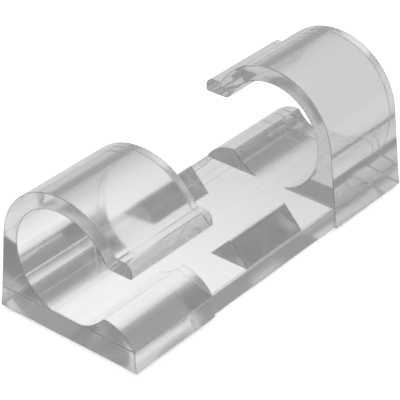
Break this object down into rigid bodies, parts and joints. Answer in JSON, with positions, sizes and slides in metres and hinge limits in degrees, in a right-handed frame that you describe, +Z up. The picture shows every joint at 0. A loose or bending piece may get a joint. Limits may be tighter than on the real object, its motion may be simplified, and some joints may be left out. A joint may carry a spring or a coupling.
{
  "type": "adhesive cable clip",
  "caption": "Clear adhesive cable clip: a flat base with opposed snap hooks at its ends, each curling over a round cable channel, and low ribs between them.",
  "frame": {"origin": "centre of the underside of the adhesive pad, on the surface that the clip is stuck to", "axes": "+Z up from the mounting surface, +Y along the cable, +X across it; the hook at the -Y end is rooted on the -X side and opens towards +X"},
  "size_m": [0.01, 0.0244, 0.0092],
  "materials": {
    "clear_plastic": "clear, polished moulding",
    "clear_adhesive": "clear, soft and tacky"
  },
  "bodies": {
    "root": {"clip_body": "clear_plastic", "adhesive_pad": "clear_adhesive"}
  },
  "joints": []
}
